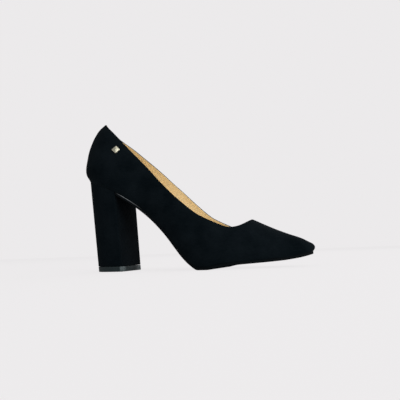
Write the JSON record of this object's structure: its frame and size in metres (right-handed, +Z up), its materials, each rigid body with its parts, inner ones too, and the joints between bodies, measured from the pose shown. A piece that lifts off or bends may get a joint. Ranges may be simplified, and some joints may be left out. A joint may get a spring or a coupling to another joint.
{
  "type": "block heel pump",
  "caption": "Closed court shoe with a low-cut collar, a narrow squared toe and a high covered block heel, for the right foot.",
  "frame": {"origin": "centre of the shoe's plan on the floor it stands on", "axes": "+X from heel to toe, +Y to the medial (big toe) side, +Z up"},
  "size_m": [0.2266, 0.0758, 0.1504],
  "materials": {
    "upper_suede": "matte black suede with a short nap",
    "sock_leather": "smooth golden tan lining leather",
    "outsole_rubber": "satin near-black sole with a paler edge",
    "heel_suede": "matte black suede cover on a moulded block",
    "top_piece_rubber": "satin dark grey",
    "stud_metal": "pale gold, satin"
  },
  "bodies": {
    "root": {"upper": "upper_suede", "insole": "sock_leather", "outsole": "outsole_rubber", "heel_block": "heel_suede", "top_piece": "top_piece_rubber", "side_stud": "stud_metal"}
  },
  "joints": []
}
